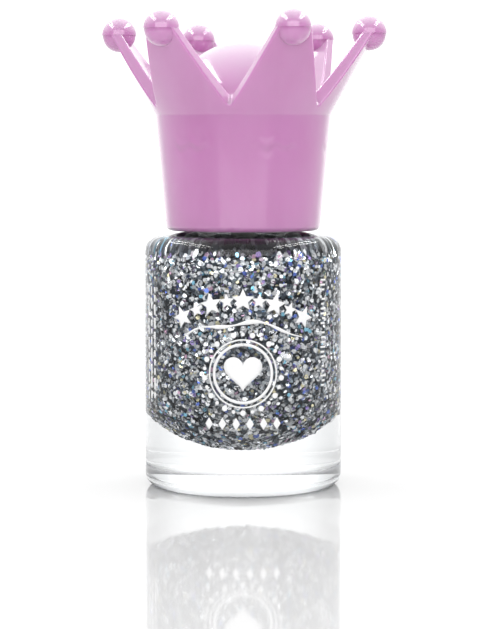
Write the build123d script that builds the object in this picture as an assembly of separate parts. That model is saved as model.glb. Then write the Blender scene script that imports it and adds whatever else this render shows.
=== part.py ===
"""A small round nail polish bottle with a crown-shaped brush cap.

Every piece is its own solid, written to parts/NODE.step. Millimetres, +Z up, the origin at the
centre of the bottle's foot. The front of the bottle faces -Y.
"""

from build123d import *
from math import cos, radians, sin, tan
import os

# --- driving dimensions of the glass bottle ------------------------------------------------
BODY_RADIUS = 13.0
SHOULDER_Z = 32.75  # where the shoulder's corner ends and its gentle slope begins
SHOULDER_CORNER = 2.1
SHOULDER_SLOPE = 8.0  # degrees
HEEL_RADIUS = 1.7
FOOT_RING_RADIUS = 9.6  # inside edge of the ring that the bottle stands on
PUSH_UP = 0.9  # height of the hollow under the foot
PUSH_UP_BANK = 1.6  # width of the slope round the hollow
WALL = 2.2
FLOOR_Z = 5.3  # lowest point of the cavity
BOWL_RADIUS = 10.6  # corner radius of the cavity's round bottom
SHOULDER_WALL = 1.6
CAVITY_CORNER = 2.6  # radius under the shoulder

# --- neck finish: 13 mm, tall, single thread ------------------------------------------------
NECK_RADIUS = 5.7
BORE_RADIUS = 2.95
LIP_Z = 44.6
THREAD_CREST = 6.45
THREAD_PITCH = 2.12
THREAD_TURNS = 1.5
THREAD_LOW_Z = 38.6
THREAD_ROOT_HALF = 0.62  # half height of a thread ridge where it meets its wall
THREAD_TIP_HALF = 0.28
THREAD_SINK = 0.15  # how deep a ridge is rooted in its wall
BEAD_RISE = 0.55  # the bead below the thread stands this far out
BEAD_LOW = 1.1  # height of the bead's underside above the foot of the neck
BEAD_HEIGHT = 0.9

# --- polish and mixing balls ----------------------------------------------------------------
FILL_Z = 31.6
CONTENTS_GAP = 0.03
BALL_RADIUS = 1.5875  # a 1/8 inch steel ball
BALL_GAP = 0.03
BALL_LIFT = 0.25  # the pair rests on the bowl's curve, just above its lowest point

# --- brush -----------------------------------------------------------------------------------
SEAL_THICKNESS = 0.8
FLANGE_THICKNESS = 0.9
FLANGE_RADIUS = 5.5
STEM_RADIUS = 1.65
STEM_TIP_RADIUS = 1.5
STEM_LOW_Z = 20.0
STEM_PLAY = 0.3  # room round the stem in the lip seal
TUFT_SOCKET_RADIUS = 1.15
TUFT_SOCKET_DEPTH = 4.0
TUFT_TIP_RADIUS = 1.75
TUFT_LOW_Z = 8.6
CHANNEL_RADIUS = 1.95  # hollow in the polish that the brush stands in
CHANNEL_END_GAP = 0.25
ANCHOR_THICKNESS = 0.3
ANCHOR_HEIGHT = 1.4
ANCHOR_RISE = 2.3  # height of the anchor's middle above the stem's end

# --- inner cap -------------------------------------------------------------------------------
INNER_CAP_BORE = 7.1
INNER_CAP_RADIUS = 8.0
INNER_CAP_LOW_Z = 34.6
INNER_CAP_TOP = 1.2
INNER_THREAD_TIP = 6.52  # stands just clear of the glass thread's crest
INNER_THREAD_LAG = 1.06  # half a pitch: the inner ridge runs midway between the turns of the outer
SPLINES = 24
SPLINE_HEIGHT = 0.3
SPLINE_START = 0.6  # above the skirt's lower edge

# --- crown -----------------------------------------------------------------------------------
SPIKES = 6
CROWN_TURN = -37.84  # degrees from the front to the first spike when the cap is closed
CUP_LOW_Z = 33.7
CUP_LOW_RADIUS = 10.15
CREASE_Z = 48.7  # where the cup ends and the flared spikes begin
CREASE_RADIUS = 11.55
CUP_WALL = 1.25
CUP_EDGE = 0.75
FLARE = 28.7  # degrees from vertical
SPIKE_ROOT_THICKNESS = 2.05  # measured level, at the notches
SPIKE_TOP_THICKNESS = 1.45
SPIKE_TOP_Z = 59.5
SPIKE_TOP_HALF_WIDTH = 2.2
SPIKE_EDGE = 0.22
NOTCH_Z = 49.5
NOTCH_ROUNDING = 0.45
FINIAL_RADIUS = 2.3
FINIAL_LOWER_RADIUS = 2.2  # the upper half stands a little proud along the mould's parting line
FINIAL_Z = 59.3
FINIAL_CIRCLE_RADIUS = 16.55  # how far the balls' centres stand from the axis
DOME_RADIUS = 9.95
DOME_WALL = 1.2
DOME_Z = 48.45  # centre of the dome's sphere
WEB_LOW_Z = 48.0
WEB_HIGH_Z = 49.2
RIB_WIDTH = 1.1
RIB_START = 1.2  # above the cup's lower edge
RIB_STOP = 1.2  # how far each rib reaches over the inner cap's top
FIT_GAP = 0.03  # clearance between the ribs and the inner cap

# --- worked out from the above ---------------------------------------------------------------
CAVITY_RADIUS = BODY_RADIUS - WALL
SEAL_TOP_Z = LIP_Z + SEAL_THICKNESS
FLANGE_TOP_Z = SEAL_TOP_Z + FLANGE_THICKNESS
INNER_CAP_ROOF_Z = FLANGE_TOP_Z + 0.05
INNER_CAP_TOP_Z = INNER_CAP_ROOF_Z + INNER_CAP_TOP
ANCHOR_WIDTH = 2 * TUFT_SOCKET_RADIUS - 0.3
ANCHOR_Z = STEM_LOW_Z + ANCHOR_RISE
RING_LOW_Z = CREASE_Z + 0.3  # the flared ring starts just inside the top of the cup
SPIKE_STEP = 360 / SPIKES
FLARE_SLOPE = tan(radians(FLARE))
CUP_SLOPE = (CREASE_RADIUS - CUP_LOW_RADIUS) / (CREASE_Z - CUP_LOW_Z)
FAR = 40.0  # longer than any piece, for cutting tools


def flare_radius(z):
    """Outer radius of the flared spikes at a height."""
    return CREASE_RADIUS + (z - CREASE_Z) * FLARE_SLOPE


def flare_inner_radius(z):
    """Inner radius of the flared spikes, which thin towards their tips."""
    share = (z - NOTCH_Z) / (SPIKE_TOP_Z - NOTCH_Z)
    thinning = (SPIKE_ROOT_THICKNESS - SPIKE_TOP_THICKNESS) * share
    return flare_radius(z) - SPIKE_ROOT_THICKNESS + thinning


def cup_radius(z):
    """Outer radius of the tapered cup at a height."""
    return CUP_LOW_RADIUS + (z - CUP_LOW_Z) * CUP_SLOPE


def turned(points, radii):
    """A solid of revolution about Z from an outline of (radius, height) corners, each rounded."""
    outline = FilletPolyline(*[(r, 0, z) for r, z in points], radius=radii, close=True)
    return revolve(make_face(Wire(outline.edges())), Axis.Z)


def toward(angle):
    """The rotation that carries the front, -Y, round to an angle counted towards +X."""
    return Rot(0, 0, angle)


def thread_ridge(tip, root, low_z, outward):
    """A helical ridge with sloping flanks, from a root radius to its tip, with run-out ends."""
    sink = THREAD_SINK if outward else -THREAD_SINK
    path = Helix(THREAD_PITCH, THREAD_PITCH * THREAD_TURNS, root, center=(0, 0, low_z))
    section = Plane(path @ 0, x_dir=(1, 0, 0), z_dir=path % 0) * make_face(
        Polyline(
            (-sink, -THREAD_ROOT_HALF),
            (tip - root, -THREAD_TIP_HALF),
            (tip - root, THREAD_TIP_HALF),
            (-sink, THREAD_ROOT_HALF),
            close=True,
        )
    )
    return sweep(section, path=path, is_frenet=True)


# --- the bottle ------------------------------------------------------------------------------


def glass_bottle():
    """The glass: a thick foot, a straight body, a soft shoulder and a threaded neck."""
    slope = tan(radians(SHOULDER_SLOPE))
    neck_foot_z = SHOULDER_Z + (BODY_RADIUS - NECK_RADIUS) * slope
    cavity_roof_z = SHOULDER_Z - SHOULDER_WALL
    neck_mouth_z = cavity_roof_z + (CAVITY_RADIUS - BORE_RADIUS) * slope
    outside = turned(
        [
            (0, PUSH_UP),
            (FOOT_RING_RADIUS - PUSH_UP_BANK, PUSH_UP),
            (FOOT_RING_RADIUS, 0),
            (BODY_RADIUS, 0),
            (BODY_RADIUS, SHOULDER_Z),
            (NECK_RADIUS, neck_foot_z),
            (NECK_RADIUS, LIP_Z),
            (0, LIP_Z),
        ],
        [0, 1.2, 0.5, HEEL_RADIUS, SHOULDER_CORNER, 0.9, 0.45, 0],
    )
    inside = turned(
        [
            (0, FLOOR_Z),
            (CAVITY_RADIUS, FLOOR_Z),
            (CAVITY_RADIUS, cavity_roof_z),
            (BORE_RADIUS, neck_mouth_z),
            (BORE_RADIUS, LIP_Z + 1),
            (0, LIP_Z + 1),
        ],
        [0, BOWL_RADIUS, CAVITY_CORNER, 1.2, 0, 0],
    )
    bead_low_z = neck_foot_z + BEAD_LOW
    bead = turned(
        [
            (NECK_RADIUS - BEAD_RISE, bead_low_z),
            (NECK_RADIUS + BEAD_RISE, bead_low_z),
            (NECK_RADIUS + BEAD_RISE, bead_low_z + BEAD_HEIGHT),
            (NECK_RADIUS - BEAD_RISE, bead_low_z + BEAD_HEIGHT),
        ],
        [0, 0.4, 0.4, 0],
    )
    thread = thread_ridge(THREAD_CREST, NECK_RADIUS, THREAD_LOW_Z, outward=True)
    return (outside + bead + thread) - inside


def brush_channel():
    """The straight space in the polish that the stem and tuft stand in."""
    return Pos(0, 0, TUFT_LOW_Z - CHANNEL_END_GAP) * Cylinder(
        CHANNEL_RADIUS, FAR, align=(Align.CENTER, Align.CENTER, Align.MIN)
    )


def ball_places():
    """Centres of the two mixing balls, side by side in the bottom of the bowl."""
    apart = BALL_RADIUS + BALL_GAP
    height = FLOOR_Z + CONTENTS_GAP + BALL_RADIUS + BALL_LIFT
    return [(-apart, 0, height), (apart, 0, height)]


def nail_polish():
    """The polish: fills the cavity to just under the shoulder, round the brush and the balls."""
    wall = CAVITY_RADIUS - CONTENTS_GAP
    floor_z = FLOOR_Z + CONTENTS_GAP
    roof_z = SHOULDER_Z - SHOULDER_WALL - CONTENTS_GAP
    peak_z = roof_z + (wall - BORE_RADIUS) * tan(radians(SHOULDER_SLOPE))
    full = turned(
        [(0, floor_z), (wall, floor_z), (wall, roof_z), (BORE_RADIUS, peak_z), (0, peak_z)],
        [0, BOWL_RADIUS - CONTENTS_GAP, CAVITY_CORNER - CONTENTS_GAP, 0, 0],
    )
    filled = full & Pos(0, 0, FILL_Z) * Box(
        FAR, FAR, FAR, align=(Align.CENTER, Align.CENTER, Align.MAX)
    )
    filled -= brush_channel()
    for place in ball_places():
        filled -= Pos(*place) * Sphere(BALL_RADIUS + BALL_GAP)
    return filled


def mixing_ball(place):
    """One steel ball that stirs the polish when the bottle is shaken."""
    return Pos(*place) * Sphere(BALL_RADIUS)


# --- the brush -------------------------------------------------------------------------------


def lip_seal():
    """A soft washer between the glass lip and the stem's flange."""
    hole = STEM_RADIUS + STEM_PLAY
    rim = FLANGE_RADIUS - 0.1
    return turned(
        [(hole, LIP_Z), (rim, LIP_Z), (rim, SEAL_TOP_Z), (hole, SEAL_TOP_Z)],
        [0.1, 0.2, 0.2, 0.1],
    )


def brush_stem():
    """The wand: a flange that snaps into the inner cap, and a tapered rod with a tuft socket."""
    rod = turned(
        [
            (0, STEM_LOW_Z),
            (STEM_TIP_RADIUS, STEM_LOW_Z),
            (STEM_RADIUS, SEAL_TOP_Z),
            (FLANGE_RADIUS, SEAL_TOP_Z),
            (FLANGE_RADIUS, FLANGE_TOP_Z),
            (0, FLANGE_TOP_Z),
        ],
        [0, 0.25, 0.25, 0.15, 0.3, 0],
    )
    socket = Pos(0, 0, STEM_LOW_Z) * Cylinder(
        TUFT_SOCKET_RADIUS,
        TUFT_SOCKET_DEPTH,
        align=(Align.CENTER, Align.CENTER, Align.MIN),
    )
    return rod - socket


def tuft_anchor():
    """The flat metal staple that the doubled bristles are driven into the socket with."""
    staple = Box(ANCHOR_WIDTH, ANCHOR_THICKNESS, ANCHOR_HEIGHT)
    return Pos(0, 0, ANCHOR_Z) * fillet(staple.edges().filter_by(Axis.Y), 0.2)


def bristle_tuft():
    """The bundle of nylon bristles: bound in the socket, spreading a little to a rounded tip."""
    bound = TUFT_SOCKET_RADIUS - 0.02
    root_z = STEM_LOW_Z + TUFT_SOCKET_DEPTH - 0.05
    bundle = turned(
        [
            (0, root_z),
            (bound, root_z),
            (bound, STEM_LOW_Z - 0.8),
            (TUFT_TIP_RADIUS, TUFT_LOW_Z + 4.5),
            (TUFT_TIP_RADIUS - 0.1, TUFT_LOW_Z),
            (0, TUFT_LOW_Z),
        ],
        [0, 0.2, 0.6, 3.0, 1.3, 0],
    )
    room = 0.04
    slot = Box(ANCHOR_WIDTH + room, ANCHOR_THICKNESS + room, ANCHOR_HEIGHT + room)
    return bundle - Pos(0, 0, ANCHOR_Z) * slot


# --- the cap ---------------------------------------------------------------------------------


def inner_cap():
    """The threaded closure hidden in the crown, splined outside so that the crown turns it."""
    seat = FLANGE_RADIUS + 0.05
    skirt = turned(
        [
            (INNER_CAP_BORE, INNER_CAP_LOW_Z),
            (INNER_CAP_RADIUS, INNER_CAP_LOW_Z),
            (INNER_CAP_RADIUS, INNER_CAP_TOP_Z),
            (0, INNER_CAP_TOP_Z),
            (0, INNER_CAP_ROOF_Z),
            (seat, INNER_CAP_ROOF_Z),
            (seat, SEAL_TOP_Z),
            (INNER_CAP_BORE, LIP_Z - 0.6),
        ],
        [0.3, 0.2, 0.6, 0, 0, 0, 0, 0],
    )
    between_ribs = CROWN_TURN - 90 + 180 / SPLINES
    spline_length = INNER_CAP_TOP_Z - INNER_CAP_LOW_Z - SPLINE_START - 1.0
    for place in PolarLocations(INNER_CAP_RADIUS, SPLINES, start_angle=between_ribs):
        start = Pos(0, 0, INNER_CAP_LOW_Z + SPLINE_START) * place
        skirt += start * extrude(Circle(SPLINE_HEIGHT), spline_length)
    low_z = THREAD_LOW_Z - INNER_THREAD_LAG
    ridge = thread_ridge(INNER_THREAD_TIP, INNER_CAP_BORE, low_z, outward=False)
    return skirt + ridge


def cup_shell():
    """The tapered cup, open below, closed above by a web and a round dome."""
    inner_low = CUP_LOW_RADIUS - CUP_WALL
    inner_high = cup_radius(WEB_LOW_Z) - CUP_WALL
    dome_inner = DOME_RADIUS - DOME_WALL
    web_hole = dome_inner - 0.2  # just inside the dome's wall, so that the two join
    outline = turned(
        [
            (inner_low, CUP_LOW_Z),
            (CUP_LOW_RADIUS, CUP_LOW_Z),
            (CREASE_RADIUS, CREASE_Z),
            (flare_radius(WEB_HIGH_Z), WEB_HIGH_Z),
            (web_hole, WEB_HIGH_Z),
            (web_hole, WEB_LOW_Z),
            (inner_high, WEB_LOW_Z),
        ],
        [0.4, CUP_EDGE, 0.5, 0, 0, 0.3, 0.5],
    )
    above = Pos(0, 0, WEB_LOW_Z + 0.3) * Box(
        FAR, FAR, FAR, align=(Align.CENTER, Align.CENTER, Align.MIN)
    )
    dome = Pos(0, 0, DOME_Z) * (Sphere(DOME_RADIUS) - Sphere(dome_inner)) & above
    return outline + dome


def flared_ring():
    """The full flared ring that the spikes are cut from."""
    return turned(
        [
            (flare_radius(RING_LOW_Z), RING_LOW_Z),
            (flare_radius(SPIKE_TOP_Z), SPIKE_TOP_Z),
            (flare_inner_radius(SPIKE_TOP_Z), SPIKE_TOP_Z),
            (flare_inner_radius(RING_LOW_Z), RING_LOW_Z),
        ],
        [0, 0, 0, 0],
    )


def notch_cutter():
    """A rounded V channel at the front, whose sides are square to the spikes on either side.

    A spike's side keeps a set distance from the spike's own middle plane, which shrinks with
    height, so two neighbouring sides meet in a straight root that climbs towards the axis.
    """
    notch_radius = flare_radius(NOTCH_Z)
    half_step = radians(SPIKE_STEP / 2)
    lean = (notch_radius * sin(half_step) - SPIKE_TOP_HALF_WIDTH) / (SPIKE_TOP_Z - NOTCH_Z)
    root = Vector(0, -1, -sin(half_step) / lean).normalized()
    side = Vector(sin(half_step), -cos(half_step), 0)
    across = side - root * side.dot(root)
    up = root.cross(Vector(1, 0, 0))
    run = across.X / across.dot(up)
    profile = FilletPolyline(
        (0, 0),
        (FAR * run, FAR),
        (-FAR * run, FAR),
        radius=[NOTCH_ROUNDING, 0, 0],
        close=True,
    )
    start = Vector(0, -notch_radius, NOTCH_Z)
    plane = Plane(start, x_dir=(1, 0, 0), z_dir=root)
    return extrude(plane * make_face(Wire(profile.edges())), 9.0, both=True)


def crown_turn(index):
    """The rotation that carries the front to one of the spikes."""
    return toward(CROWN_TURN + index * SPIKE_STEP)


def spikes():
    """The flared ring, parted into spikes by rounded notches, with softened edges."""
    crown = toward(CROWN_TURN + SPIKE_STEP / 2) * flared_ring()
    for index in range(SPIKES):
        crown -= toward(CROWN_TURN + (index + 0.5) * SPIKE_STEP) * notch_cutter()
    softened = crown.edges().filter_by(lambda edge: (edge @ 0.5).Z > RING_LOW_Z + 0.01)
    return fillet(softened, SPIKE_EDGE)


def finial():
    """The ball on the front spike's tip, in two halves that meet in a fine step."""
    middle = Align.CENTER
    upper = Sphere(FINIAL_RADIUS, 0, 90, align=(middle, middle, Align.MIN))
    lower = Sphere(FINIAL_LOWER_RADIUS, -90, 0, align=(middle, middle, Align.MAX))
    return Pos(0, -FINIAL_CIRCLE_RADIUS, FINIAL_Z) * (upper + lower)


def inside_rib():
    """A rib inside the cup, under the front spike: it grips the inner cap and stops its top."""
    grip = INNER_CAP_RADIUS + FIT_GAP
    reach = INNER_CAP_RADIUS - RIB_STOP
    low_z = CUP_LOW_Z + RIB_START
    high_z = WEB_LOW_Z + 0.2
    stop_z = INNER_CAP_TOP_Z + FIT_GAP
    outline = Polyline(
        (0, -grip, low_z),
        (0, -cup_radius(low_z) + CUP_WALL / 2, low_z),
        (0, -cup_radius(high_z) + CUP_WALL / 2, high_z),
        (0, -reach, high_z),
        (0, -reach, stop_z),
        (0, -grip, stop_z),
        close=True,
    )
    return extrude(make_face(outline), RIB_WIDTH / 2, dir=(1, 0, 0), both=True)


def crown_cap():
    """The crown: cup, dome, spikes with round finials, and the ribs inside, in one moulding."""
    balls = [crown_turn(index) * finial() for index in range(SPIKES)]
    ribs = [crown_turn(index) * inside_rib() for index in range(SPIKES)]
    return cup_shell().fuse(*ribs) + spikes().fuse(*balls)


def main():
    os.makedirs("parts", exist_ok=True)
    pieces = {
        "glass_bottle": glass_bottle(),
        "nail_polish": nail_polish(),
        "lip_seal": lip_seal(),
        "brush_stem": brush_stem(),
        "tuft_anchor": tuft_anchor(),
        "bristle_tuft": bristle_tuft(),
        "inner_cap": inner_cap(),
        "crown_cap": crown_cap(),
    }
    for number, place in enumerate(ball_places(), start=1):
        pieces[f"mixing_ball_{number}"] = mixing_ball(place)
    for name, piece in pieces.items():
        export_step(piece, f"parts/{name}.step")


main()
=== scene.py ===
"""Looks of the small nail polish bottle with its crown cap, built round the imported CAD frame."""

import math
import random

import bpy
from mathutils import Matrix, Vector

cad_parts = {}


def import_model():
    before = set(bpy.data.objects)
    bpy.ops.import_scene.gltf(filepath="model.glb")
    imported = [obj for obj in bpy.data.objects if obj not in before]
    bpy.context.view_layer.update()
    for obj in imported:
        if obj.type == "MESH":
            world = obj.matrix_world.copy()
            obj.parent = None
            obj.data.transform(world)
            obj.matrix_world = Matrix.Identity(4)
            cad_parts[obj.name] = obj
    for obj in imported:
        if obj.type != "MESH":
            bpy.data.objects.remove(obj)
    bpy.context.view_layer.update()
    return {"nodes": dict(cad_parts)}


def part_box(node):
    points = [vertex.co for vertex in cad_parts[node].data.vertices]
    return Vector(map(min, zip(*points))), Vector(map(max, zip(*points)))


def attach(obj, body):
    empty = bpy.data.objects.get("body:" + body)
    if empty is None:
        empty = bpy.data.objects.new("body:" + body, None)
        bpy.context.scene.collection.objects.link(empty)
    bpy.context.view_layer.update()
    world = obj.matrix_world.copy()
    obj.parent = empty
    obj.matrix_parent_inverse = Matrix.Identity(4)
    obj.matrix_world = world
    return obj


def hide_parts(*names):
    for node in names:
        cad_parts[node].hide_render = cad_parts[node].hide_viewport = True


MM = 0.001
SEED = 7

# --- places and sizes shared with the CAD model, in millimetres --------------------------------
BODY_RADIUS = 13.0
SHOULDER_Z = 32.75
SHOULDER_SLOPE = math.radians(8.0)
SHOULDER_WALL = 1.6
BOWL_RADIUS = 10.6
CAVITY_CORNER = 2.6
CONTENTS_GAP = 0.03  # between the solid polish and the glass
NECK_BORE = 2.95
CROWN_TURN = math.radians(-37.84)
SPIKES = 6

# --- sink marks on the crown's cup, one under each spike ------------------------------------------
CUP_RADIUS = 10.9  # at the marks
SINK_Z = 44.6
SINK_WAVE = 0.22  # height of the wave that a mark follows
SINK_WAVE_RATE = 2.4  # radians of that wave to a millimetre round the cup
SINK_SHORTNESS = 0.36
SINK_THINNESS = 1.3
SINK_DEPTH = 3.4
ORANGE_PEEL = 0.03

# --- glass ---------------------------------------------------------------------------------------
STIPPLE_Z = 0.75  # the stipple of the underside is full up to here
CLEAR_Z = 1.1  # and gone from here up

# --- polish and glitter ------------------------------------------------------------------------
MOSAIC_SIZE = 0.42
SHOULDER_SHADE_LOW_Z = 30.9  # above this the polish's mosaic fades to an even dark grey, painted shade for the dark band under the shoulder
SHOULDER_SHADE_HIGH_Z = 31.4
CHANNEL_PLAY = 0.2  # room round the brush in the polish
CHANNEL_END_GAP = 0.25
CONTACT = 0.02  # how far the polish wets into the glass, so that no film of air shows
GLITTER_COUNT = 11500
GLITTER_RADIUS = 0.285
GLITTER_TILT = 0.3  # spread of a flake's lean, as a share of its own normal
GLITTER_SINK = 0.45  # the flakes lie below the polish's free surface
GLITTER_LONG_SPAN = 3  # a span of the outline this tall holds flakes up to its end
GLITTER_DEPTHS = -0.02, 0.1  # how far a flake's middle stands out from the outline
GLITTER_SIZES = 0.75, 1.2
GLITTER_MIRROR = 0.3, 0.85, 1.0  # how metallic a flake looks
GLITTER_MIRROR_SHARES = 2, 4, 5
GLITTER_COLOURS = (
    # sRGB, share
    ((252, 253, 255), 64),
    ((220, 226, 231), 10),
    ((120, 130, 138), 14),
    ((110, 135, 220), 6),
    ((140, 200, 225), 5),
    ((236, 228, 190), 4),
    ((180, 160, 222), 4),
    ((230, 190, 215), 2),
    ((60, 66, 76), 12),
)

# --- print ---------------------------------------------------------------------------------------
INK_LIFT = 0.03  # middle of the ink's thickness above the glass
INK_THICKNESS = 0.03
ARCH_Z = 25.3
ARCH_DROP = 0.034  # a star this share of its distance squared lower
ARCH_STEP = 2.05
SWASH_Z = 22.4
SWASH_DROP = 0.03
SWASH_LENGTH = 16.0
BADGE_Z = 16.0
BADGE_HEART = 4.9
BADGE_RINGS = ((3.7, 0.36), (4.3, 0.2))  # radius, width
BADGE_BEADS = 26
BADGE_BEAD_CIRCLE = 5.0
DIAMOND_Z = 9.6
DIAMOND_STEP = 1.75
DIAMONDS = 6
RUNG_ACROSS = 11.8
RUNG_TOP_Z = 27.6
RUNG_LOW_Z = 13.0
RUNG_STEP = 0.62
RUNG_GROUP_GAP = 0.6
RUNG_WIDTH = 0.26
LINES_ACROSS = (-15.9, -14.9, -13.9)
LINES_TOP_Z = 27.0
LINES_LOW_Z = 12.0
LINE_WIDTH = 0.42

# --- brush ---------------------------------------------------------------------------------------
BRISTLES = 210
BRISTLE_SIDES = 5
BRISTLE_STEPS = 8
BRISTLE_RADIUS = 0.05
BRISTLE_END_RADIUS = 0.02
TUFT_ROOT_REACH = 1.08
TUFT_ROUNDING = 1.5  # the outer bristles end this much higher
GOLDEN_ANGLE = math.radians(137.508)


def srgb(red, green, blue):
    """Linear colour of an sRGB one given from 0 to 255."""

    def linear(value):
        value /= 255
        return value / 12.92 if value <= 0.04045 else ((value + 0.055) / 1.055) ** 2.4

    return linear(red), linear(green), linear(blue), 1.0


# --- node helpers --------------------------------------------------------------------------------


class Material:
    """A node material, with short calls for the nodes that this scene uses."""

    def __init__(self, name, colour, roughness, **settings):
        self.data = bpy.data.materials.new(name)
        self.data.use_nodes = True
        self.tree = self.data.node_tree
        self.shader = self.tree.nodes["Principled BSDF"]
        self.shader.inputs["Base Color"].default_value = colour
        self.shader.inputs["Roughness"].default_value = roughness
        for key, value in settings.items():
            self.shader.inputs[key.replace("_", " ")].default_value = value
        place = self.node("ShaderNodeTexCoord")
        self.place = place.outputs["Object"]

    def node(self, kind, **settings):
        made = self.tree.nodes.new(kind)
        for key, value in settings.items():
            setattr(made, key, value)
        return made

    def link(self, source, target):
        self.tree.links.new(source, target)

    def to_shader(self, source, socket):
        self.link(source, self.shader.inputs[socket])

    def feed(self, socket, value):
        if isinstance(value, bpy.types.NodeSocket):
            self.link(value, socket)
        else:
            socket.default_value = value

    def math(self, operation, first, second=0.0, third=0.0):
        made = self.node("ShaderNodeMath", operation=operation)
        for socket, value in zip(made.inputs, (first, second, third)):
            self.feed(socket, value)
        return made.outputs[0]

    def noise(self, size, detail=2.0, scale=(1, 1, 1)):
        """Soft noise whose blobs are about size metres across."""
        mapping = self.node("ShaderNodeMapping")
        mapping.inputs["Scale"].default_value = scale
        self.link(self.place, mapping.inputs["Vector"])
        made = self.node("ShaderNodeTexNoise")
        made.inputs["Scale"].default_value = 1 / size
        made.inputs["Detail"].default_value = detail
        self.link(mapping.outputs[0], made.inputs["Vector"])
        return made.outputs["Fac"]

    def spread(self, source, low, high, new_low, new_high):
        made = self.node("ShaderNodeMapRange")
        for socket, value in zip(made.inputs, (source, low, high, new_low, new_high)):
            self.feed(socket, value)
        return made.outputs[0]

    def ramp(self, source, stops):
        made = self.node("ShaderNodeValToRGB")
        ramp = made.color_ramp
        while len(ramp.elements) < len(stops):
            ramp.elements.new(0.5)
        for element, (position, colour) in zip(ramp.elements, stops):
            element.position = position
            element.color = colour
        self.link(source, made.inputs[0])
        return made.outputs[0]

    def bump(self, height, distance, strength=1.0):
        made = self.node("ShaderNodeBump")
        made.inputs["Strength"].default_value = strength
        made.inputs["Distance"].default_value = distance
        self.link(height, made.inputs["Height"])
        self.to_shader(made.outputs[0], "Normal")


# --- materials -----------------------------------------------------------------------------------


def crown_plastic():
    """Glossy, slightly milky pink, with flow marks, the sink marks over the inside ribs, and
    painted light that makes up-facing faces paler.
    """
    made = Material("pink_plastic", srgb(205, 140, 193), 0.16)
    shader = made.shader.inputs
    shader["IOR"].default_value = 1.5
    shader["Subsurface Weight"].default_value = 0.45
    shader["Subsurface Radius"].default_value = (1.0, 0.55, 0.9)
    shader["Subsurface Scale"].default_value = 1.6 * MM
    shader["Coat Weight"].default_value = 1.0
    shader["Coat Roughness"].default_value = 0.06
    shader["Coat IOR"].default_value = 1.75
    shader["Sheen Weight"].default_value = 0.45
    shader["Sheen Roughness"].default_value = 0.42
    cloud = made.noise(7 * MM, detail=3.0, scale=(1, 1, 0.45))
    colour = made.ramp(cloud, [(0.3, srgb(197, 126, 183)), (0.7, srgb(203, 136, 191))])
    # Faces that point up are mixed toward a pale pink: painted light standing in for the top light
    # that whitens the dome, ball tops and inner faces.
    facing = made.node("ShaderNodeSeparateXYZ")
    made.link(made.node("ShaderNodeNewGeometry").outputs["Normal"], facing.inputs[0])
    painted_top_light = made.node("ShaderNodeMix", data_type="RGBA")
    made.link(made.spread(facing.outputs[2], 0.05, 0.85, 0.0, 0.8), painted_top_light.inputs["Factor"])
    made.link(colour, painted_top_light.inputs[6])
    painted_top_light.inputs[7].default_value = srgb(204, 180, 201)
    made.to_shader(painted_top_light.outputs[2], "Base Color")
    fine = made.noise(0.9 * MM, detail=2.0)
    made.to_shader(made.spread(fine, 0.3, 0.7, 0.13, 0.2), "Roughness")
    parts = made.node("ShaderNodeSeparateXYZ")
    made.link(made.place, parts.inputs[0])
    x, y, z = parts.outputs
    bearing = made.math("ARCTAN2", x, made.math("MULTIPLY", y, -1.0))
    turn = made.math("SUBTRACT", bearing, CROWN_TURN)
    step = 2 * math.pi / SPIKES
    around = made.math("MULTIPLY", made.math("WRAP", turn, step / 2, -step / 2), CUP_RADIUS)
    rise = made.math("MULTIPLY", made.math("SUBTRACT", z, SINK_Z * MM), 1 / MM)
    phase = made.math("MULTIPLY", around, SINK_WAVE_RATE)
    wave = made.math("MULTIPLY", made.math("COSINE", phase), SINK_WAVE)
    off_line = made.math("SUBTRACT", rise, wave)
    along = made.math("POWER", made.math("MULTIPLY", around, SINK_SHORTNESS), 4.0)
    aside = made.math("POWER", made.math("MULTIPLY", off_line, SINK_THINNESS), 2.0)
    spot = made.math("ADD", along, aside)
    sink = made.math("EXPONENT", made.math("MULTIPLY", spot, -1.0))
    signed = made.math("MULTIPLY", sink, off_line)
    orange = made.math("MULTIPLY", made.noise(2.2 * MM, detail=0.0), ORANGE_PEEL)
    made.bump(made.math("ADD", made.math("MULTIPLY", signed, SINK_DEPTH), orange), 0.1 * MM)
    return made.data


def clear_glass():
    """Clear soda glass, faintly wavy from the mould, with a stippled underside."""
    made = Material("clear_glass", srgb(250, 252, 253), 0.0)
    shader = made.shader.inputs
    shader["IOR"].default_value = 1.5
    shader["Transmission Weight"].default_value = 1.0
    parts = made.node("ShaderNodeSeparateXYZ")
    made.link(made.place, parts.inputs[0])
    stipple = made.spread(parts.outputs[2], STIPPLE_Z * MM, CLEAR_Z * MM, 0.5, 0.0)
    smear = made.spread(made.noise(3 * MM, detail=1.0), 0.35, 0.75, 0.0, 0.015)
    made.to_shader(made.math("ADD", stipple, smear), "Roughness")
    made.bump(made.noise(9 * MM, detail=1.0, scale=(1, 1, 0.5)), 0.12 * MM, 0.35)
    return made.data


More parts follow.
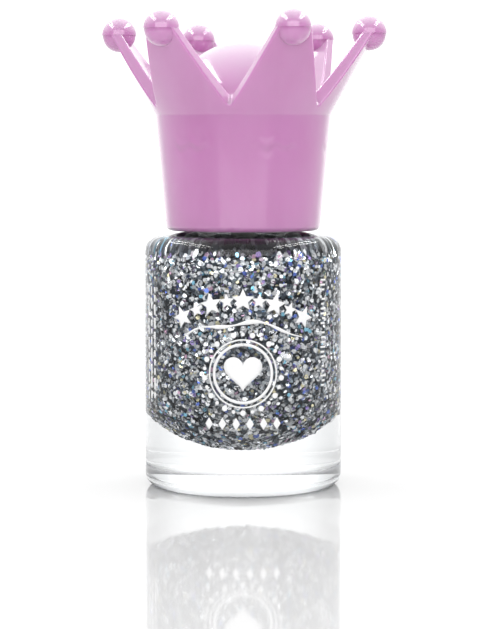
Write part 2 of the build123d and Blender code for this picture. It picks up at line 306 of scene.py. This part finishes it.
def polish_base():
    """The polish behind the loose flakes: deeper flakes packed like a mosaic in grey lacquer,
    evened to a dark grey under the shoulder as painted shade.
    """
    made = Material("glitter_polish", srgb(120, 124, 130), 0.35)
    made.shader.inputs["Metallic"].default_value = 0.9
    cells = made.node("ShaderNodeTexVoronoi", feature="F1")
    cells.inputs["Scale"].default_value = 1 / (MOSAIC_SIZE * MM)
    made.link(made.place, cells.inputs["Vector"])
    pick = made.node("ShaderNodeSeparateColor")
    made.link(cells.outputs["Color"], pick.inputs[0])
    colour = made.ramp(
        pick.outputs[0],
        [
            (0.0, srgb(20, 25, 31)),
            (0.45, srgb(46, 55, 64)),
            (0.75, srgb(98, 108, 118)),
            (0.92, srgb(190, 196, 203)),
            (1.0, srgb(240, 243, 248)),
        ],
    )
    parts = made.node("ShaderNodeSeparateXYZ")
    made.link(made.place, parts.inputs[0])
    # Toward the top the mosaic fades to an even dark grey: painted shade standing in for the dark
    # band seen through the glass shoulder.
    shoulder_shade = made.node("ShaderNodeMix", data_type="RGBA")
    shade_share = made.spread(parts.outputs[2], SHOULDER_SHADE_LOW_Z * MM, SHOULDER_SHADE_HIGH_Z * MM, 0.0, 0.6)
    made.link(shade_share, shoulder_shade.inputs["Factor"])
    made.link(colour, shoulder_shade.inputs[6])
    shoulder_shade.inputs[7].default_value = srgb(98, 94, 106)
    made.to_shader(shoulder_shade.outputs[2], "Base Color")
    made.to_shader(made.spread(pick.outputs[1], 0, 1, 0.2, 0.55), "Roughness")
    made.bump(pick.outputs[2], 0.15 * MM, 0.9)
    return made.data


def glitter_foil():
    """The loose flakes: cut film from pearly to mirror-like, each with its own colour and shine."""
    made = Material("glitter_foil", srgb(230, 232, 236), 0.3)
    tint = made.node("ShaderNodeAttribute", attribute_name="flake_colour")
    made.to_shader(tint.outputs["Color"], "Base Color")
    made.to_shader(tint.outputs["Alpha"], "Metallic")
    made.to_shader(made.spread(made.noise(0.4 * MM), 0.3, 0.7, 0.13, 0.26), "Roughness")
    return made.data


def print_ink():
    """Opaque white screen ink with a slightly grainy surface."""
    made = Material("print_ink", srgb(250, 250, 250), 0.5)
    grain = made.noise(0.15 * MM)
    white = made.ramp(grain, [(0.3, srgb(246, 246, 247)), (0.7, srgb(253, 253, 253))])
    made.to_shader(white, "Base Color")
    made.bump(grain, 0.01 * MM, 0.4)
    return made.data


def moulded(name, low, high, roughness, grain=0.5):
    """Plain moulded plastic or rubber between two shades, with fine grain."""
    made = Material(name, low, roughness)
    cloud = made.noise(3 * MM, detail=3.0)
    made.to_shader(made.ramp(cloud, [(0.3, low), (0.7, high)]), "Base Color")
    fine = made.noise(grain * MM)
    made.to_shader(made.spread(fine, 0.3, 0.7, roughness - 0.06, roughness + 0.08), "Roughness")
    made.bump(fine, 0.02 * MM, 0.5)
    return made.data


def steel(name, roughness, stretch=(1, 1, 1)):
    """Bright steel with fine scratches along the stretch."""
    made = Material(name, srgb(196, 197, 200), roughness)
    made.shader.inputs["Metallic"].default_value = 1.0
    scratch = made.noise(0.2 * MM, detail=4.0, scale=stretch)
    made.to_shader(made.spread(scratch, 0.3, 0.7, roughness * 0.6, roughness * 1.6), "Roughness")
    made.bump(scratch, 0.004 * MM, 0.5)
    return made.data


# --- mesh helpers --------------------------------------------------------------------------------


def new_piece(name, points, faces, material, body, smooth=True):
    """A mesh object from points in millimetres that rides on a body."""
    mesh = bpy.data.meshes.new(name)
    mesh.from_pydata([Vector(point) * MM for point in points], [], faces)
    mesh.update()
    if smooth:
        mesh.shade_smooth()
    made = bpy.data.objects.new(name, mesh)
    bpy.context.scene.collection.objects.link(made)
    mesh.materials.append(material)
    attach(made, body)
    return made


def arc(centre, radius, start, stop, steps):
    """Points of an arc in the (radius, height) plane, angles in degrees."""
    made = []
    for index in range(steps + 1):
        angle = math.radians(start + (stop - start) * index / steps)
        made.append((centre[0] + radius * math.cos(angle), centre[1] + radius * math.sin(angle)))
    return made


def lathe(outline, segments):
    """Points and faces of an outline, from axis to axis, turned about Z."""
    points = []
    faces = []
    rings = []
    for radius, height in outline:
        if radius < 1e-6:
            rings.append([len(points)])
            points.append((0, 0, height))
            continue
        rings.append(list(range(len(points), len(points) + segments)))
        for index in range(segments):
            angle = 2 * math.pi * index / segments
            points.append((radius * math.cos(angle), radius * math.sin(angle), height))
    for low, high in zip(rings, rings[1:]):
        for index in range(segments):
            after = (index + 1) % segments
            if len(low) == 1:
                faces.append((low[0], high[after], high[index]))
            elif len(high) == 1:
                faces.append((low[index], low[after], high[0]))
            else:
                faces.append((low[index], low[after], high[after], high[index]))
    return points, faces


# --- polish --------------------------------------------------------------------------------------


def polish_outline():
    """The polish's wetted outside, from the bowl's middle up to the edge of its free surface."""
    low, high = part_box("nail_polish")
    wall = high.x / MM + CONTACT + CONTENTS_GAP
    bottom = low.z / MM - CONTACT - CONTENTS_GAP
    top = high.z / MM
    roof = SHOULDER_Z - SHOULDER_WALL + CONTACT
    corner = CAVITY_CORNER
    points = [(0, bottom)]
    points += arc((wall - BOWL_RADIUS, bottom + BOWL_RADIUS), BOWL_RADIUS, -90, 0, 24)
    # the corner turns from the wall onto the shoulder's slope
    turn = 90 - math.degrees(SHOULDER_SLOPE)
    drop = corner * math.tan(math.radians(turn / 2))
    points += arc((wall - corner, roof - drop), corner, 0, turn, 8)
    radius, height = points[-1]
    edge = radius - (top - height) / math.tan(SHOULDER_SLOPE)
    if top > height:
        points.append((max(edge, NECK_BORE + 1), top))
    return points, top


def nail_polish(material):
    outline, top = polish_outline()
    stem_low, stem_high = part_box("bristle_tuft")
    channel = stem_high.x / MM + CHANNEL_PLAY
    channel_low = stem_low.z / MM - CHANNEL_END_GAP
    outline = outline + [(channel, top), (channel, channel_low), (0, channel_low)]
    points, faces = lathe(outline, 96)
    made = new_piece("polish_fill", points, faces, material, "bottle")
    made.data.set_sharp_from_angle(angle=math.radians(40))
    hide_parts("nail_polish")
    return made


def glitter(material):
    """Thousands of loose hexagonal flakes lying against the inside of the glass."""
    rng = random.Random(SEED)
    outline, top = polish_outline()
    spans = []
    for (r1, z1), (r2, z2) in zip(outline, outline[1:]):
        if z2 > top - GLITTER_SINK and z2 - z1 < GLITTER_LONG_SPAN:
            continue
        length = math.hypot(r2 - r1, z2 - z1)
        spans.append(((r1, z1), (r2, z2), length * (r1 + r2) / 2))
    weights = [span[2] for span in spans]
    colours = [srgb(*colour) for colour, _ in GLITTER_COLOURS]
    shares = [share for _, share in GLITTER_COLOURS]
    points = []
    faces = []
    tints = []
    for _ in range(GLITTER_COUNT):
        (r1, z1), (r2, z2), _area = rng.choices(spans, weights)[0]
        along = rng.random()
        radius = r1 + (r2 - r1) * along
        height = z1 + (z2 - z1) * along
        angle = rng.uniform(0, 2 * math.pi)
        length = math.hypot(r2 - r1, z2 - z1)
        out_r, out_z = (z2 - z1) / length, -(r2 - r1) / length
        outward = Vector((out_r * math.cos(angle), out_r * math.sin(angle), out_z))
        centre = Vector((radius * math.cos(angle), radius * math.sin(angle), height))
        centre += outward * rng.uniform(*GLITTER_DEPTHS)
        tilt = Vector([rng.gauss(0, GLITTER_TILT) for _ in range(3)])
        normal = (outward + tilt).normalized()
        side = normal.orthogonal().normalized()
        turn = Matrix.Rotation(rng.uniform(0, math.pi), 3, normal)
        side = turn @ side
        other = normal.cross(side)
        size = GLITTER_RADIUS * rng.uniform(*GLITTER_SIZES)
        first = len(points)
        for corner in range(6):
            bearing = math.pi * corner / 3
            reach = side * math.cos(bearing) + other * math.sin(bearing)
            points.append(centre + reach * size)
        faces.append(tuple(range(first, first + 6)))
        mirror = rng.choices(GLITTER_MIRROR, GLITTER_MIRROR_SHARES)[0]
        tints.append(rng.choices(colours, shares)[0][:3] + (mirror,))
    made = new_piece(
        "glitter_flakes", points, faces, material, "bottle", smooth=False
    )
    layer = made.data.color_attributes.new("flake_colour", "FLOAT_COLOR", "CORNER")
    for face, tint in zip(made.data.polygons, tints):
        for corner in face.loop_indices:
            layer.data[corner].color = tint
    return made


# --- printing on the glass -----------------------------------------------------------------------


class Ink:
    """A layer of screen ink on the bottle's side, drawn flat and wrapped round the glass.

    Across is in millimetres round from the front, counted to the right. Height is above the foot.
    """

    def __init__(self):
        self.points = []
        self.faces = []

    def add(self, across, height):
        angle = across / BODY_RADIUS
        radius = BODY_RADIUS + INK_LIFT
        self.points.append((radius * math.sin(angle), -radius * math.cos(angle), height))
        return len(self.points) - 1

    def stroke(self, route, widths):
        """A ribbon along a route, with one width for each of its points."""
        before = None
        for index, (across, height) in enumerate(route):
            last = route[max(index - 1, 0)]
            following = route[min(index + 1, len(route) - 1)]
            along = Vector((following[0] - last[0], following[1] - last[1])).normalized()
            half = widths[index] / 2
            left = self.add(across - along.y * half, height + along.x * half)
            right = self.add(across + along.y * half, height - along.x * half)
            if before:
                self.faces.append((before[0], before[1], right, left))
            before = left, right

    def bar(self, centre, length, width, upright):
        """A short straight bar that stands for a word of small print."""
        steps = 6
        route = []
        for index in range(steps + 1):
            along = length * (index / steps - 0.5)
            step = (0, along) if upright else (along, 0)
            route.append((centre[0] + step[0], centre[1] + step[1]))
        self.stroke(route, [width] * len(route))

    def shape(self, centre, outline):
        """A filled shape whose outline is all in sight of its centre."""
        middle = self.add(*centre)
        inner = []
        for share in (0.4, 0.75, 1.0):
            ring = [self.add(centre[0] + x * share, centre[1] + y * share) for x, y in outline]
            count = len(ring)
            for index in range(count):
                after = (index + 1) % count
                if inner:
                    self.faces.append((inner[index], ring[index], ring[after], inner[after]))
                else:
                    self.faces.append((middle, ring[index], ring[after]))
            inner = ring

    def piece(self, name, material):
        made = new_piece(name, self.points, self.faces, material, "bottle")
        thick = made.modifiers.new("thickness", "SOLIDIFY")
        thick.thickness = INK_THICKNESS * MM
        thick.offset = 0
        return made


def star(radius, points=5, waist=0.45, turn=0.0):
    """Outline of a star, with one point up."""
    outline = []
    for index in range(2 * points):
        angle = turn + math.pi / 2 + math.pi * index / points
        reach = radius if index % 2 == 0 else radius * waist
        outline.append((reach * math.cos(angle), reach * math.sin(angle)))
    return outline


def dot(radius):
    return star(radius, points=6, waist=1.0)


def heart(size):
    """Outline of a heart, size wide."""
    outline = []
    for index in range(40):
        angle = 2 * math.pi * index / 40
        across = 16 * math.sin(angle) ** 3
        height = 13 * math.cos(angle) - 5 * math.cos(2 * angle)
        height -= 2 * math.cos(3 * angle) + math.cos(4 * angle)
        outline.append((across * size / 32, (height + 2) * size / 32))
    return outline


def star_arch(material):
    """An arch of stars above a swash, in the place of the name."""
    ink = Ink()
    for index in range(-4, 5):
        across = index * ARCH_STEP
        size = 1.5 if index % 2 == 0 else 1.0
        ink.shape((across, ARCH_Z - ARCH_DROP * across**2), star(size, turn=-across * 0.05))
    route = []
    widths = []
    for index in range(61):
        share = index / 60
        across = SWASH_LENGTH * (share - 0.5)
        ripple = 0.3 * math.sin(share * 4 * math.pi)
        route.append((across, SWASH_Z - SWASH_DROP * across**2 + ripple))
        swell = 0.6 + 0.4 * math.sin(share * 8 * math.pi)
        widths.append(0.12 + 0.5 * math.sin(share * math.pi) * swell)
    ink.stroke(route, widths)
    return ink.piece("print_star_arch", material)


def heart_badge(material):
    """A heart in two plain rings and a circle of beads, in the place of the picture."""
    ink = Ink()
    middle = BADGE_Z
    ink.shape((0, middle), heart(BADGE_HEART))
    for radius, width in BADGE_RINGS:
        count = 72
        route = []
        for index in range(count + 1):
            angle = 2 * math.pi * index / count
            route.append((radius * math.sin(angle), middle + radius * math.cos(angle)))
        ink.stroke(route, [width] * len(route))
    for index in range(BADGE_BEADS):
        angle = 2 * math.pi * index / BADGE_BEADS
        size = 0.36 if index % 2 else 0.24
        across = BADGE_BEAD_CIRCLE * math.sin(angle)
        ink.shape((across, middle + BADGE_BEAD_CIRCLE * math.cos(angle)), dot(size))
    return ink.piece("print_heart_badge", material)


def diamond_row(material):
    """A row of diamonds under the badge."""
    ink = Ink()
    for index in range(DIAMONDS):
        across = (index - (DIAMONDS - 1) / 2) * DIAMOND_STEP
        ink.shape((across, DIAMOND_Z), star(0.8, points=2, waist=0.62))
    return ink.piece("print_diamond_row", material)


def rung_column(material):
    """A column of short rungs in groups, in the place of the words that read up the right side."""
    rng = random.Random(SEED + 3)
    ink = Ink()
    height = RUNG_TOP_Z
    while height > RUNG_LOW_Z:
        for _ in range(rng.randint(3, 6)):
            reach = rng.choice((0.55, 0.8, 1.0))
            across = RUNG_ACROSS + rng.choice((-0.1, 0, 0.1))
            ink.bar((across, height), reach, RUNG_WIDTH, upright=False)
            height -= RUNG_STEP
        height -= RUNG_GROUP_GAP
    return ink.piece("print_right_rungs", material)


def small_print(material):
    """Columns of plain bars down the bottle's side, in the place of the small print."""
    rng = random.Random(SEED + 2)
    ink = Ink()
    for across in LINES_ACROSS:
        height = LINES_TOP_Z - rng.uniform(0, 0.6)
        while height > LINES_LOW_Z:
            length = rng.uniform(1.2, 4.2) * LINE_WIDTH
            ink.bar((across, height - length / 2), length, LINE_WIDTH, upright=True)
            height -= length + LINE_WIDTH * 0.9
    return ink.piece("print_left_lines", material)


# --- brush ---------------------------------------------------------------------------------------


def bristles(material):
    """The tuft as single nylon filaments, bound in the socket and spreading to a rounded tip."""
    low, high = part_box("bristle_tuft")
    tip, root, spread = low.z / MM, high.z / MM, high.x / MM
    rng = random.Random(SEED + 1)
    points = []
    faces = []
    for number in range(BRISTLES):
        share = math.sqrt((number + 0.5) / BRISTLES)
        angle = number * GOLDEN_ANGLE
        reach_root = TUFT_ROOT_REACH * share
        reach_tip = (spread - 0.12) * share
        end = tip + TUFT_ROUNDING * share**3 + rng.uniform(0, 0.25)
        sway = rng.uniform(-0.06, 0.06), rng.uniform(-0.06, 0.06)
        before = None
        for index in range(BRISTLE_STEPS + 1):
            along = index / BRISTLE_STEPS
            height = root - 0.1 + (end - root + 0.1) * along
            open_share = min(max((along - 0.3) / 0.45, 0), 1)
            ease = open_share**2 * (3 - 2 * open_share)
            reach = reach_root + (reach_tip - reach_root) * ease
            middle_x = reach * math.cos(angle) + sway[0] * ease
            middle_y = reach * math.sin(angle) + sway[1] * ease
            thick = BRISTLE_RADIUS if index < BRISTLE_STEPS else BRISTLE_END_RADIUS
            ring = []
            for side in range(BRISTLE_SIDES):
                bearing = 2 * math.pi * side / BRISTLE_SIDES
                ring.append(len(points))
                x = middle_x + thick * math.cos(bearing)
                y = middle_y + thick * math.sin(bearing)
                points.append((x, y, height))
            if before:
                for side in range(BRISTLE_SIDES):
                    after = (side + 1) % BRISTLE_SIDES
                    faces.append((before[side], before[after], ring[after], ring[side]))
            else:
                faces.append(tuple(ring))
            before = ring
        faces.append(tuple(reversed(before)))
    made = new_piece("bristles", points, faces, material, "brush")
    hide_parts("bristle_tuft")
    return made


# --- stage ---------------------------------------------------------------------------------------


def floor():
    """A pale floor that fades into the white surroundings."""
    bpy.ops.mesh.primitive_circle_add(vertices=128, radius=0.9, fill_type="NGON")
    made = bpy.context.object
    made.name = "floor"
    finish = Material("pale_floor", (0.62, 0.62, 0.62, 1), 0.05)
    finish.shader.inputs["IOR"].default_value = 1.35
    finish.shader.inputs["Emission Color"].default_value = (1, 1, 1, 1)
    finish.shader.inputs["Emission Strength"].default_value = 0.02
    distance = finish.node("ShaderNodeVectorMath", operation="LENGTH")
    finish.link(finish.place, distance.inputs[0])
    fade = finish.spread(distance.outputs["Value"], 0.12, 0.4, 1.0, 0.0)
    finish.to_shader(fade, "Alpha")
    made.data.materials.append(finish.data)


def area_light(name, place, aim, size, power):
    """A rectangular lamp that shines at a point and isn't itself seen by the camera."""
    data = bpy.data.lights.new(name, "AREA")
    data.shape = "RECTANGLE"
    data.size, data.size_y = size
    data.energy = power
    made = bpy.data.objects.new(name, data)
    bpy.context.scene.collection.objects.link(made)
    made.location = place
    made.rotation_euler = (Vector(aim) - Vector(place)).to_track_quat("-Z", "Y").to_euler()
    made.visible_camera = False
    return made


def lights():
    """A wide lamp in front, a pair of long strips overhead on each side, and the surroundings."""
    middle = (0, 0, 0.045)
    for side in (-1, 1):
        for gap in (0.0, 0.06):
            place = (side * (0.27 + gap), 0.06, 0.46 - gap * 0.6)
            strip = area_light(f"strip_{side}_{gap}", place, middle, (0.024, 0.62), 0.5)
            strip.rotation_euler = (0, math.atan2(place[0], place[2] - middle[2]), 0)
    area_light("front", (0, -0.42, 0.19), middle, (0.62, 0.3), 0.95)
    surroundings()


def surroundings():
    """White to the camera; as light, dimmer in front and low down to the left and right."""
    world = bpy.data.worlds.new("studio")
    bpy.context.scene.world = world
    world.use_nodes = True
    tree = world.node_tree

    def combined(operation, first, second):
        made = tree.nodes.new("ShaderNodeMath")
        made.operation = operation
        for socket, value in zip(made.inputs, (first, second)):
            if isinstance(value, bpy.types.NodeSocket):
                tree.links.new(value, socket)
            else:
                socket.default_value = value
        return made.outputs[0]

    def eased(source, low, high, new_low, new_high):
        made = tree.nodes.new("ShaderNodeMapRange")
        made.interpolation_type = "SMOOTHSTEP"
        tree.links.new(source, made.inputs["Value"])
        for socket, value in zip(made.inputs[1:5], (low, high, new_low, new_high)):
            socket.default_value = value
        return made.outputs[0]

    place = tree.nodes.new("ShaderNodeTexCoord")
    parts = tree.nodes.new("ShaderNodeSeparateXYZ")
    tree.links.new(place.outputs["Generated"], parts.inputs[0])
    x, y, z = parts.outputs
    depth = eased(y, -0.95, 0.7, 0.5, 1.35)
    flank = eased(combined("ABSOLUTE", x, 0), 0.3, 0.8, 0.0, 0.5)
    low = eased(z, 0.1, 0.55, 1.0, 0.0)
    dimming = combined("SUBTRACT", 1.0, combined("MULTIPLY", flank, low))
    path = tree.nodes.new("ShaderNodeLightPath")
    glow = combined("MULTIPLY", depth, dimming)
    strength = combined("MAXIMUM", glow, path.outputs["Is Camera Ray"])
    background = tree.nodes["Background"]
    tree.links.new(strength, background.inputs["Strength"])
    background.inputs["Color"].default_value = (1, 1, 1, 1)


def camera():
    """A long lens a little above the middle of the object, looking slightly down."""
    data = bpy.data.cameras.new("camera")
    data.sensor_width = 36.0
    data.lens = 116.33
    data.clip_start = 0.01
    made = bpy.data.objects.new("camera", data)
    bpy.context.scene.collection.objects.link(made)
    made.location = (0.892 * MM, -268.39 * MM, 43.37 * MM)
    made.rotation_euler = (math.radians(90 - 4.443), 0, 0)
    bpy.context.scene.camera = made


# --- the whole scene -----------------------------------------------------------------------------


def dress(nodes, name, material):
    """Gives a CAD node its material and smooth shading between gentle facets."""
    mesh = nodes[name].data
    mesh.materials.clear()
    mesh.materials.append(material)
    mesh.shade_smooth()
    mesh.set_sharp_from_angle(angle=math.radians(32))


def main():
    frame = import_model()
    nodes = frame["nodes"]
    dress(nodes, "crown_cap", crown_plastic())
    dress(nodes, "glass_bottle", clear_glass())
    white = moulded("white_plastic", srgb(232, 232, 228), srgb(240, 240, 237), 0.42)
    dress(nodes, "inner_cap", white)
    natural = moulded("natural_plastic", srgb(226, 226, 220), srgb(235, 235, 230), 0.38)
    dress(nodes, "brush_stem", natural)
    foam = moulded("seal_foam", srgb(222, 222, 218), srgb(233, 233, 229), 0.8, 0.15)
    dress(nodes, "lip_seal", foam)
    bristles(moulded("nylon_bristle", srgb(32, 32, 35), srgb(52, 52, 56), 0.4, 0.1))
    dress(nodes, "tuft_anchor", steel("staple_steel", 0.3, (1, 1, 6)))
    bright = steel("ball_steel", 0.12)
    dress(nodes, "mixing_ball_1", bright)
    dress(nodes, "mixing_ball_2", bright)
    nail_polish(polish_base())
    glitter(glitter_foil())
    ink = print_ink()
    star_arch(ink)
    heart_badge(ink)
    diamond_row(ink)
    small_print(ink)
    rung_column(ink)
    floor()
    lights()
    camera()
    view = bpy.context.scene.view_settings
    view.view_transform = "Standard"


main()
